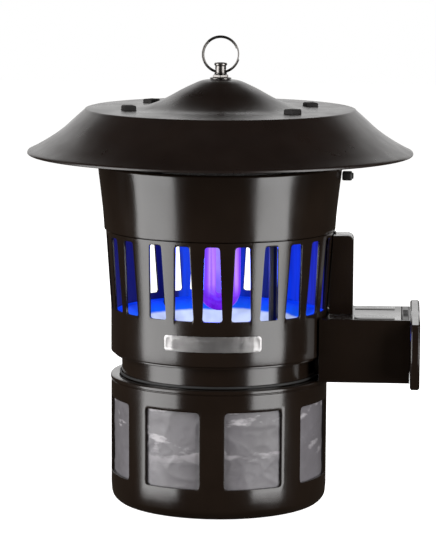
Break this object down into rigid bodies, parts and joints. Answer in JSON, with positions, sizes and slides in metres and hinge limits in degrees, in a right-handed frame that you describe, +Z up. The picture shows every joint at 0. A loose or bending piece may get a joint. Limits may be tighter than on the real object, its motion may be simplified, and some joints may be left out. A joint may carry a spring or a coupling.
{
  "type": "hanging fan insect trap",
  "caption": "Round outdoor insect trap with a broad roof, a slotted lamp chamber, a fan, a windowed retaining cage, a hanging ring and a wall arm with a slide-on plate.",
  "frame": {"origin": "centre of the flat base of the retaining cage", "axes": "+Z up along the axis of the round housing, +X towards the wall arm and its plate, -Y towards the nameplate"},
  "size_m": [0.2865, 0.28, 0.3413],
  "materials": {
    "bronze_plastic": "satin moulded",
    "inner_plastic": "matt moulded",
    "white_plastic": "matt moulded",
    "catalyst_coating": "white coated",
    "bright_steel": "plated",
    "copper_winding": "enamelled",
    "circuit_board": "coated",
    "lamp_glass": "lit tube",
    "screen_cloth": "woven mesh",
    "seal_rubber": "matt",
    "plate_silver": "satin"
  },
  "bodies": {
    "housing": {"roof_cover": "bronze_plastic", "hanging_eyelet": "bright_steel", "eyelet_flange_nut": "bright_steel", "eyelet_washer": "bright_steel", "eyelet_lock_nut": "bright_steel", "roof_clip_post_1": "inner_plastic", "roof_clip_post_2": "inner_plastic", "roof_clip_post_3": "inner_plastic", "roof_clip_post_4": "inner_plastic", "upper_band": "bronze_plastic", "cord_gland": "inner_plastic", "lamp_tray": "white_plastic", "lamp_socket": "white_plastic", "ballast_board": "circuit_board", "ballast_coil": "copper_winding", "ballast_capacitor": "inner_plastic", "fan_supply": "inner_plastic", "terminal_block": "white_plastic", "light_cage": "bronze_plastic", "blank_nameplate": "plate_silver", "tie_post_1": "inner_plastic", "tie_post_2": "inner_plastic", "tie_post_3": "inner_plastic", "tie_post_4": "inner_plastic", "coated_funnel": "catalyst_coating", "fan_guard": "inner_plastic", "neck_housing": "bronze_plastic", "fan_frame": "inner_plastic", "motor_bearing": "bright_steel", "motor_stator": "copper_winding", "wall_arm": "bronze_plastic", "latch_spring_1": "bright_steel", "latch_spring_2": "bright_steel", "mount_spine": "bronze_plastic", "spine_screw_1": "bright_steel", "spine_screw_2": "bright_steel"},
    "hanging_ring": {"hanging_ring": "bright_steel"},
    "lamp": {"uv_lamp_tube": "lamp_glass", "lamp_base": "white_plastic"},
    "fan": {"fan_rotor": "inner_plastic", "fan_shaft": "bright_steel"},
    "cage_seal": {"cage_gasket": "seal_rubber"},
    "cage": {"retaining_cage": "bronze_plastic", "mesh_sleeve": "screen_cloth"},
    "latch": {"release_latch": "inner_plastic"},
    "wall_plate": {"wall_plate": "bronze_plastic"}
  },
  "joints": [
    {"name": "ring_swing", "type": "hinge", "parent": "housing", "child": "hanging_ring", "pos_m": [0, 0, 0.3154], "axis": [1, 0, 0], "range_deg": [-105, 105]},
    {"name": "lamp_pull", "type": "slide", "parent": "housing", "child": "lamp", "axis": [0, 0, -1], "range_m": [0, 0.016]},
    {"name": "fan_spin", "type": "hinge", "parent": "housing", "child": "fan", "pos_m": [0, 0, 0.105], "axis": [0, 0, 1], "continuous": true},
    {"name": "cage_twist", "type": "hinge", "parent": "housing", "child": "cage_seal", "pos_m": [0, 0, 0.0942], "axis": [0, 0, 1], "range_deg": [-30, 0]},
    {"name": "cage_drop", "type": "slide", "parent": "cage_seal", "child": "cage", "axis": [0, 0, -1], "range_m": [0, 0.1]},
    {"name": "plate_slide", "type": "slide", "parent": "housing", "child": "wall_plate", "axis": [0, 0, -1], "range_m": [0, 0.055]},
    {"name": "latch_press", "type": "slide", "parent": "housing", "child": "latch", "axis": [0, 0, -1], "range_m": [0, 0.003], "stiffness_N_per_m": 600, "springref_m": -0.002, "deforming": ["latch_spring_1", "latch_spring_2"]}
  ]
}
